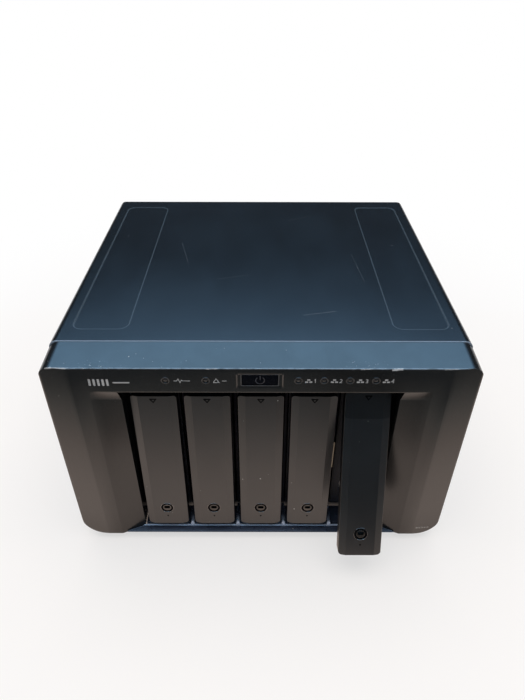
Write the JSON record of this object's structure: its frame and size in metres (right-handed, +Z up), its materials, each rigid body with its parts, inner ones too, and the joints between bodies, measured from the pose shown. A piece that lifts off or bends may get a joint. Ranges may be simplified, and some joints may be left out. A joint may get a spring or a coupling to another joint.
{
  "type": "network attached storage",
  "caption": "Desktop network storage unit with hot-swap drive trays behind swing-out lockable handles, indicator lamps, rear fans and network jacks.",
  "frame": {"origin": "on the resting plane under the centre of the unit's overall outline (fifth handle swung open)", "axes": "+Z up, front bezel faces -Y, +X to the right when looking at the front"},
  "size_m": [0.248, 0.2598, 0.157],
  "materials": {
    "cover_paint": "satin",
    "bezel_plastic": "satin",
    "handle_plastic": "satin",
    "sill_plastic": "satin",
    "open_handle_plastic": "satin",
    "lock_metal": "polished",
    "lamp_lens": "gloss",
    "button_plastic": "gloss",
    "black_plastic": "matte",
    "sheet_steel": "satin",
    "rear_paint": "satin",
    "circuit_board": "satin",
    "jack_metal": "satin",
    "aluminium": "satin",
    "screw_steel": "satin",
    "wire_chrome": "polished",
    "foot_rubber": "matte",
    "cell_steel": "satin"
  },
  "bodies": {
    "chassis": {"top_cover": "cover_paint", "front_bezel": "bezel_plastic", "front_sill": "sill_plastic", "base_pan": "sheet_steel", "rear_panel": "rear_paint", "drive_cage": "sheet_steel", "backplane_board": "circuit_board", "sata_sockets": "black_plastic", "main_board": "circuit_board", "processor_heatsink": "aluminium", "memory_module": "circuit_board", "memory_hatch": "rear_paint", "coin_cell": "cell_steel", "lan_jacks": "jack_metal", "usb_jacks": "jack_metal", "esata_jacks": "jack_metal", "power_supply": "sheet_steel", "power_inlet": "black_plastic", "lamp_board": "circuit_board", "lamp_windows": "lamp_lens", "rubber_feet": "foot_rubber", "foot_screws": "screw_steel", "cover_screws": "screw_steel", "fan_screws": "screw_steel", "fan_guards": "wire_chrome", "fan_left_frame": "black_plastic", "fan_right_frame": "black_plastic", "power_harness": "black_plastic"},
    "power_button": {"power_button": "button_plastic"},
    "reset_button": {"reset_button": "black_plastic"},
    "fan_left_rotor": {"fan_left_rotor": "black_plastic"},
    "fan_right_rotor": {"fan_right_rotor": "black_plastic"},
    "bay_1_sled": {"bay_1_tray": "black_plastic", "bay_1_drive": "aluminium", "bay_1_hinge_pin": "screw_steel"},
    "bay_1_lever": {"bay_1_handle": "handle_plastic"},
    "bay_1_key": {"bay_1_lock": "lock_metal"},
    "bay_2_sled": {"bay_2_tray": "black_plastic", "bay_2_drive": "aluminium", "bay_2_hinge_pin": "screw_steel"},
    "bay_2_lever": {"bay_2_handle": "handle_plastic"},
    "bay_2_key": {"bay_2_lock": "lock_metal"},
    "bay_3_sled": {"bay_3_tray": "black_plastic", "bay_3_drive": "aluminium", "bay_3_hinge_pin": "screw_steel"},
    "bay_3_lever": {"bay_3_handle": "handle_plastic"},
    "bay_3_key": {"bay_3_lock": "lock_metal"},
    "bay_4_sled": {"bay_4_tray": "black_plastic", "bay_4_drive": "aluminium", "bay_4_hinge_pin": "screw_steel"},
    "bay_4_lever": {"bay_4_handle": "handle_plastic"},
    "bay_4_key": {"bay_4_lock": "lock_metal"},
    "bay_5_sled": {"bay_5_tray": "black_plastic", "bay_5_drive": "aluminium", "bay_5_hinge_pin": "screw_steel"},
    "bay_5_lever": {"bay_5_handle": "open_handle_plastic"},
    "bay_5_key": {"bay_5_lock": "lock_metal"}
  },
  "joints": [
    {"name": "power_button_press", "type": "slide", "parent": "chassis", "child": "power_button", "axis": [0, 1, 0], "range_m": [0, 0.001], "stiffness_N_per_m": 300},
    {"name": "reset_button_press", "type": "slide", "parent": "chassis", "child": "reset_button", "axis": [0, -1, 0], "range_m": [0, 0.0006], "stiffness_N_per_m": 300},
    {"name": "fan_left_spin", "type": "hinge", "parent": "chassis", "child": "fan_left_rotor", "pos_m": [-0.048, 0.11104, 0.112], "axis": [0, 1, 0], "continuous": true},
    {"name": "fan_right_spin", "type": "hinge", "parent": "chassis", "child": "fan_right_rotor", "pos_m": [0.036, 0.11104, 0.112], "axis": [0, 1, 0], "continuous": true},
    {"name": "bay_1_slide", "type": "slide", "parent": "chassis", "child": "bay_1_sled", "axis": [0, -1, 0], "range_m": [0, 0.165]},
    {"name": "bay_1_handle_hinge", "type": "hinge", "parent": "bay_1_sled", "child": "bay_1_lever", "pos_m": [-0.064, -0.08846, 0.1197], "axis": [-1, 0, 0], "range_deg": [0, 38]},
    {"name": "bay_1_lock_turn", "type": "hinge", "parent": "bay_1_lever", "child": "bay_1_key", "pos_m": [-0.064, -0.09932, 0.03028], "axis": [0, -0.9983, 0.0576], "range_deg": [0, 90]},
    {"name": "bay_2_slide", "type": "slide", "parent": "chassis", "child": "bay_2_sled", "axis": [0, -1, 0], "range_m": [0, 0.165]},
    {"name": "bay_2_handle_hinge", "type": "hinge", "parent": "bay_2_sled", "child": "bay_2_lever", "pos_m": [-0.032, -0.08846, 0.1197], "axis": [-1, 0, 0], "range_deg": [0, 38]},
    {"name": "bay_2_lock_turn", "type": "hinge", "parent": "bay_2_lever", "child": "bay_2_key", "pos_m": [-0.032, -0.09932, 0.03028], "axis": [0, -0.9983, 0.0576], "range_deg": [0, 90]},
    {"name": "bay_3_slide", "type": "slide", "parent": "chassis", "child": "bay_3_sled", "axis": [0, -1, 0], "range_m": [0, 0.165]},
    {"name": "bay_3_handle_hinge", "type": "hinge", "parent": "bay_3_sled", "child": "bay_3_lever", "pos_m": [0, -0.08846, 0.1197], "axis": [-1, 0, 0], "range_deg": [0, 38]},
    {"name": "bay_3_lock_turn", "type": "hinge", "parent": "bay_3_lever", "child": "bay_3_key", "pos_m": [0, -0.09932, 0.03028], "axis": [0, -0.9983, 0.0576], "range_deg": [0, 90]},
    {"name": "bay_4_slide", "type": "slide", "parent": "chassis", "child": "bay_4_sled", "axis": [0, -1, 0], "range_m": [0, 0.165]},
    {"name": "bay_4_handle_hinge", "type": "hinge", "parent": "bay_4_sled", "child": "bay_4_lever", "pos_m": [0.032, -0.08846, 0.1197], "axis": [-1, 0, 0], "range_deg": [0, 38]},
    {"name": "bay_4_lock_turn", "type": "hinge", "parent": "bay_4_lever", "child": "bay_4_key", "pos_m": [0.032, -0.09932, 0.03028], "axis": [0, -0.9983, 0.0576], "range_deg": [0, 90]},
    {"name": "bay_5_slide", "type": "slide", "parent": "chassis", "child": "bay_5_sled", "axis": [0, -1, 0], "range_m": [0, 0.165]},
    {"name": "bay_5_handle_hinge", "type": "hinge", "parent": "bay_5_sled", "child": "bay_5_lever", "pos_m": [0.064, -0.08846, 0.1197], "axis": [-1, 0, 0], "range_deg": [-17, 21]},
    {"name": "bay_5_lock_turn", "type": "hinge", "parent": "bay_5_lever", "child": "bay_5_key", "pos_m": [0.064, -0.12499, 0.03736], "axis": [0, -0.9379, 0.3469], "range_deg": [0, 90]}
  ]
}
